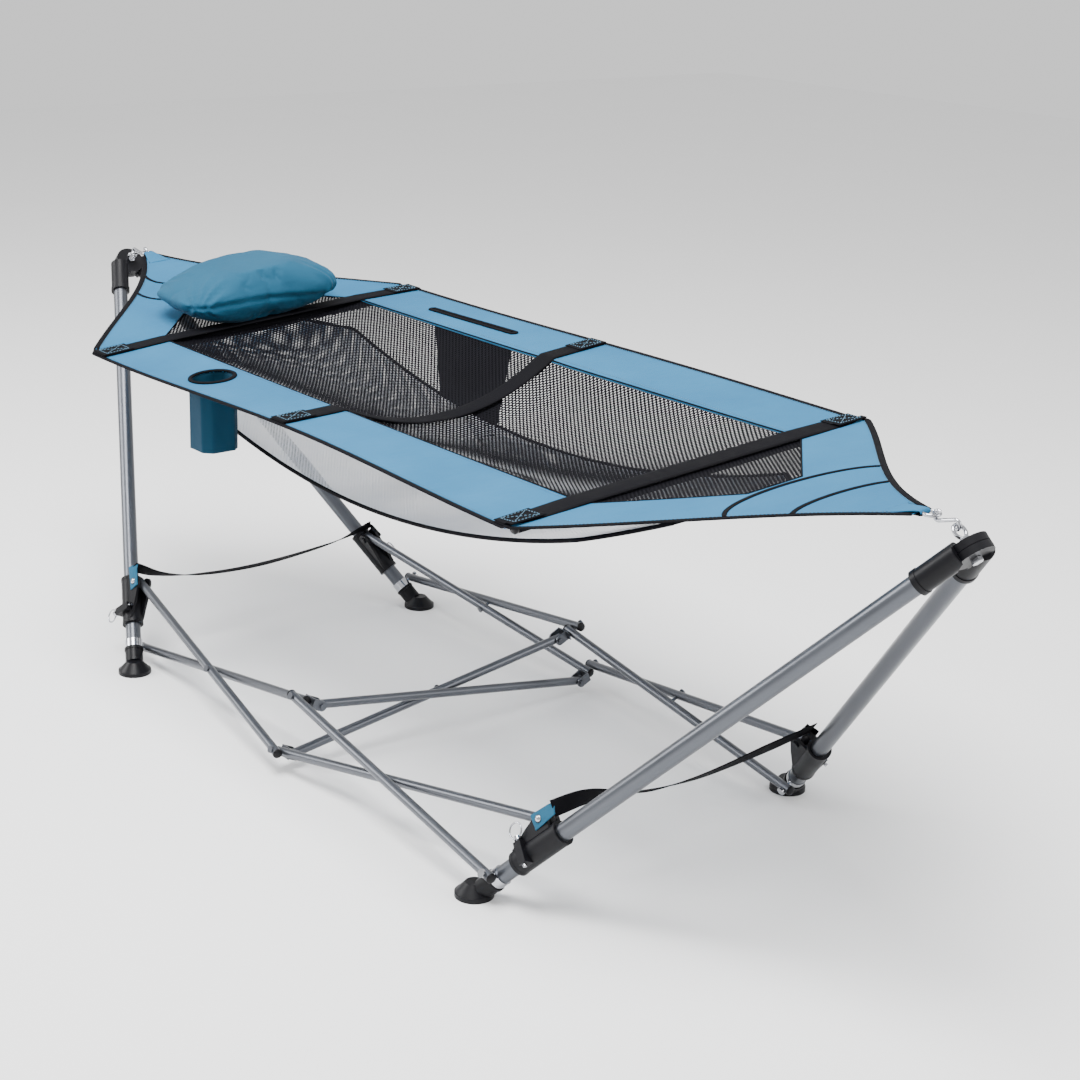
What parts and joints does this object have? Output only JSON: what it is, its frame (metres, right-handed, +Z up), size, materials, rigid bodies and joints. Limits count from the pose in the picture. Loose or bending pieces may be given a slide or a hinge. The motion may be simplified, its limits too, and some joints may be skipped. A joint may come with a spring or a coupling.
{
  "type": "hammock on stand",
  "caption": "Fabric hammock bed hung by hooks from a folding steel stand of leaning legs and scissor braces, with pillow, cup holder, pocket and storage net.",
  "frame": {"origin": "floor centre under the stand, on the plane the feet rest on", "axes": "+X to the foot end of the bed, -X to the pillow end, +Z up"},
  "size_m": [2.3304, 0.7078, 0.7351],
  "materials": {
    "grey_tube": "grey powder coat, satin",
    "black_plastic": "moulded, fine grain",
    "chrome": "bright plated",
    "blue_fabric": "woven polyester",
    "pillow_fabric": "woven polyester, padded",
    "dark_mesh": "open mesh",
    "black_fabric": "fine mesh",
    "webbing": "ribbed webbing",
    "white_net": "open knitted net"
  },
  "bodies": {
    "foot_a": {"foot_a": "black_plastic", "pivot_ring_a": "chrome"},
    "leg_a": {"leg_a": "grey_tube", "top_cap_a": "black_plastic", "eye_bolt_head": "chrome"},
    "leg_b": {"leg_b": "grey_tube", "top_cap_b": "black_plastic", "eye_bolt_foot": "chrome"},
    "leg_c": {"leg_c": "grey_tube", "top_cap_c": "black_plastic"},
    "leg_d": {"leg_d": "grey_tube", "top_cap_d": "black_plastic"},
    "foot_b": {"foot_b": "black_plastic", "pivot_ring_b": "chrome"},
    "foot_c": {"foot_c": "black_plastic", "pivot_ring_c": "chrome"},
    "foot_d": {"foot_d": "black_plastic", "pivot_ring_d": "chrome"},
    "slider_a": {"slider_a": "black_plastic", "end_strap_head": "webbing"},
    "slider_b": {"slider_b": "black_plastic", "end_strap_foot": "webbing"},
    "slider_c": {"slider_c": "black_plastic"},
    "slider_d": {"slider_d": "black_plastic"},
    "brace_1": {"brace_1": "grey_tube"},
    "brace_2": {"brace_2": "grey_tube"},
    "brace_3": {"brace_3": "grey_tube"},
    "brace_4": {"brace_4": "grey_tube"},
    "brace_5": {"brace_5": "grey_tube"},
    "brace_6": {"brace_6": "grey_tube"},
    "brace_7": {"brace_7": "grey_tube"},
    "brace_8": {"brace_8": "grey_tube"},
    "bracket_1": {"bracket_1": "grey_tube"},
    "bracket_2": {"bracket_2": "grey_tube"},
    "bracket_3": {"bracket_3": "grey_tube"},
    "bracket_4": {"bracket_4": "grey_tube"},
    "cross_1": {"cross_tube_1": "grey_tube"},
    "cross_2": {"cross_tube_2": "grey_tube"},
    "hitch_pin_a": {"hitch_pin_a": "chrome"},
    "hitch_pin_b": {"hitch_pin_b": "chrome"},
    "hitch_pin_c": {"hitch_pin_c": "chrome"},
    "hitch_pin_d": {"hitch_pin_d": "chrome"},
    "hook_head": {"s_hook_head": "chrome"},
    "hook_foot": {"s_hook_foot": "chrome"},
    "bed": {"bed_ring_head": "chrome", "bed_ring_foot": "chrome", "bed_panel_head": "blue_fabric", "bed_panel_foot": "blue_fabric", "bed_border_near": "blue_fabric", "bed_border_far": "blue_fabric", "bed_mesh": "dark_mesh", "bed_strap_head": "webbing", "bed_strap_middle": "webbing", "bed_strap_foot": "webbing", "spreader_head": "grey_tube", "spreader_foot": "grey_tube", "pillow": "pillow_fabric", "cup_holder": "blue_fabric", "pocket": "black_fabric", "storage_net": "white_net"}
  },
  "joints": [
    {"name": "fold", "type": "hinge", "parent": "foot_a", "child": "brace_2", "pos_m": [-0.57358, -0.30405, 0.03964], "axis": [0, -0.9057, 0.4239], "range_deg": [0, 112.89], "deforming": ["bed_ring_head", "bed_ring_foot", "bed_panel_head", "bed_panel_foot", "bed_border_near", "bed_border_far", "bed_mesh", "bed_strap_head", "bed_strap_middle", "bed_strap_foot", "spreader_head", "spreader_foot", "pillow", "cup_holder", "pocket", "storage_net", "end_strap_head", "end_strap_foot", "cross_tube_1", "cross_tube_2"]},
    {"name": "scissor_head_near", "type": "hinge", "parent": "brace_2", "child": "brace_1", "pos_m": [-0.28033, -0.28655, 0.07702], "axis": [0, -0.9057, 0.4239], "range_deg": [-149.23, 0]},
    {"name": "middle_top_near", "type": "hinge", "parent": "brace_2", "child": "brace_3", "pos_m": [0, -0.26983, 0.11276], "axis": [0, -0.9057, 0.4239], "range_deg": [-152.28, 0]},
    {"name": "scissor_foot_near", "type": "hinge", "parent": "brace_3", "child": "brace_4", "pos_m": [0.28033, -0.28655, 0.07702], "axis": [0, -0.9057, 0.4239], "range_deg": [0, 149.23]},
    {"name": "brace_foot_b", "type": "hinge", "parent": "brace_3", "child": "foot_b", "pos_m": [0.57358, -0.30405, 0.03964], "axis": [0, -0.9057, 0.4239], "range_deg": [0, 113.11]},
    {"name": "slide_a", "type": "slide", "parent": "foot_a", "child": "slider_a", "axis": [-0.6455, 0.3238, 0.6918], "range_m": [0, 0.52756]},
    {"name": "slide_b", "type": "slide", "parent": "foot_b", "child": "slider_b", "axis": [0.6455, 0.3238, 0.6918], "range_m": [0, 0.52756]},
    {"name": "twist_a", "type": "hinge", "parent": "foot_a", "child": "leg_a", "pos_m": [-0.5366, -0.3226, 0], "axis": [-0.6455, 0.3238, 0.6918], "range_deg": [0, 16.8]},
    {"name": "twist_b", "type": "hinge", "parent": "foot_b", "child": "leg_b", "pos_m": [0.5366, -0.3226, 0], "axis": [0.6455, 0.3238, 0.6918], "range_deg": [-16.8, 0]},
    {"name": "head_pair", "type": "hinge", "parent": "leg_a", "child": "leg_d", "pos_m": [-1.13779, 0, 0.64434], "axis": [0.7312, 0, 0.6822], "range_deg": [-36.25, 0]},
    {"name": "foot_pair", "type": "hinge", "parent": "leg_b", "child": "leg_c", "pos_m": [1.13779, 0, 0.64434], "axis": [-0.7312, 0, 0.6822], "range_deg": [0, 36.25]},
    {"name": "twist_d", "type": "hinge", "parent": "leg_d", "child": "foot_d", "pos_m": [-0.5366, 0.3226, 0], "axis": [-0.6455, -0.3238, 0.6918], "range_deg": [0, 16.8]},
    {"name": "twist_c", "type": "hinge", "parent": "leg_c", "child": "foot_c", "pos_m": [0.5366, 0.3226, 0], "axis": [0.6455, -0.3238, 0.6918], "range_deg": [-16.8, 0]},
    {"name": "slide_d", "type": "slide", "parent": "foot_d", "child": "slider_d", "axis": [-0.6455, -0.3238, 0.6918], "range_m": [0, 0.52756]},
    {"name": "slide_c", "type": "slide", "parent": "foot_c", "child": "slider_c", "axis": [0.6455, -0.3238, 0.6918], "range_m": [0, 0.52756]},
    {"name": "brace_foot_c", "type": "hinge", "parent": "foot_c", "child": "brace_6", "pos_m": [0.57358, 0.30405, 0.03964], "axis": [0, 0.9057, 0.4239], "range_deg": [0, 113.11]},
    {"name": "scissor_foot_far", "type": "hinge", "parent": "brace_6", "child": "brace_5", "pos_m": [0.28033, 0.28655, 0.07702], "axis": [0, 0.9057, 0.4239], "range_deg": [-149.23, 0]},
    {"name": "brace_foot_d", "type": "hinge", "parent": "foot_d", "child": "brace_7", "pos_m": [-0.57358, 0.30405, 0.03964], "axis": [0, 0.9057, 0.4239], "range_deg": [-113.11, 0]},
    {"name": "scissor_head_far", "type": "hinge", "parent": "brace_7", "child": "brace_8", "pos_m": [-0.28033, 0.28655, 0.07702], "axis": [0, 0.9057, 0.4239], "range_deg": [0, 149.23]},
    {"name": "bracket_top_near", "type": "hinge", "parent": "brace_2", "child": "bracket_1", "pos_m": [0, -0.26983, 0.11276], "axis": [0, -0.9057, 0.4239], "range_deg": [-76.14, 0]},
    {"name": "bracket_low_near", "type": "hinge", "parent": "brace_4", "child": "bracket_2", "pos_m": [0, -0.30988, 0.02717], "axis": [0, -0.9057, 0.4239], "range_deg": [-74.62, 0]},
    {"name": "bracket_top_far", "type": "hinge", "parent": "brace_6", "child": "bracket_3", "pos_m": [0, 0.26983, 0.11276], "axis": [0, 0.9057, 0.4239], "range_deg": [-76.14, 0]},
    {"name": "bracket_low_far", "type": "hinge", "parent": "brace_8", "child": "bracket_4", "pos_m": [0, 0.30988, 0.02717], "axis": [0, 0.9057, 0.4239], "range_deg": [-74.62, 0]},
    {"name": "cross_top_near", "type": "hinge", "parent": "bracket_1", "child": "cross_1", "pos_m": [0, -0.2605, 0.1084], "axis": [1, 0, 0], "range_deg": [-102.2, 0]},
    {"name": "cross_centre", "type": "hinge", "parent": "cross_1", "child": "cross_2", "pos_m": [0, 0, 0.06866], "axis": [1, 0, 0], "range_deg": [0, 154.81]},
    {"name": "pull_pin_a", "type": "slide", "parent": "slider_a", "child": "hitch_pin_a", "axis": [-0.7638, -0.2736, -0.5846], "range_m": [0, 0.04]},
    {"name": "pull_pin_b", "type": "slide", "parent": "slider_b", "child": "hitch_pin_b", "axis": [-0.7638, 0.2736, 0.5846], "range_m": [0, 0.04]},
    {"name": "pull_pin_c", "type": "slide", "parent": "slider_c", "child": "hitch_pin_c", "axis": [-0.7638, -0.2736, 0.5846], "range_m": [0, 0.04]},
    {"name": "pull_pin_d", "type": "slide", "parent": "slider_d", "child": "hitch_pin_d", "axis": [0.7638, -0.2736, 0.5846], "range_m": [0, 0.04]},
    {"name": "hook_swing_head", "type": "hinge", "parent": "leg_a", "child": "hook_head", "pos_m": [-1.10927, 0, 0.67094], "axis": [1, 0, 0], "range_deg": [-12, 12]},
    {"name": "hook_swing_foot", "type": "hinge", "parent": "leg_b", "child": "hook_foot", "pos_m": [1.10927, 0, 0.67094], "axis": [1, 0, 0], "range_deg": [-12, 12]},
    {"name": "bed_swing", "type": "hinge", "parent": "leg_a", "child": "bed", "pos_m": [-1.0615, 0, 0.6785], "axis": [1, 0, 0], "range_deg": [-12, 12]}
  ],
  "couplings": [
    {"joint": "scissor_head_near", "follows": "fold", "ratio": -1.3193},
    {"joint": "middle_top_near", "follows": "fold", "ratio": -1.3463},
    {"joint": "scissor_foot_near", "follows": "fold", "ratio": 1.3193},
    {"joint": "brace_foot_b", "follows": "fold", "ratio": 1},
    {"joint": "slide_a", "follows": "fold", "m_per_rad": 0.26723},
    {"joint": "slide_b", "follows": "fold", "m_per_rad": 0.26723},
    {"joint": "twist_a", "follows": "fold", "ratio": 0.14849},
    {"joint": "twist_b", "follows": "fold", "ratio": -0.14849},
    {"joint": "head_pair", "follows": "fold", "ratio": -0.3205},
    {"joint": "foot_pair", "follows": "fold", "ratio": 0.3205},
    {"joint": "twist_d", "follows": "fold", "ratio": 0.14849},
    {"joint": "twist_c", "follows": "fold", "ratio": -0.14849},
    {"joint": "slide_d", "follows": "fold", "m_per_rad": 0.26723},
    {"joint": "slide_c", "follows": "fold", "m_per_rad": 0.26723},
    {"joint": "brace_foot_c", "follows": "fold", "ratio": 1},
    {"joint": "scissor_foot_far", "follows": "fold", "ratio": -1.3193},
    {"joint": "brace_foot_d", "follows": "fold", "ratio": -1},
    {"joint": "scissor_head_far", "follows": "fold", "ratio": 1.3193},
    {"joint": "bracket_top_near", "follows": "fold", "ratio": -0.67313},
    {"joint": "bracket_low_near", "follows": "fold", "ratio": -0.65966},
    {"joint": "bracket_top_far", "follows": "fold", "ratio": -0.67313},
    {"joint": "bracket_low_far", "follows": "fold", "ratio": -0.65966},
    {"joint": "cross_top_near", "follows": "fold", "ratio": -0.90355},
    {"joint": "cross_centre", "follows": "fold", "ratio": 1.3686}
  ]
}
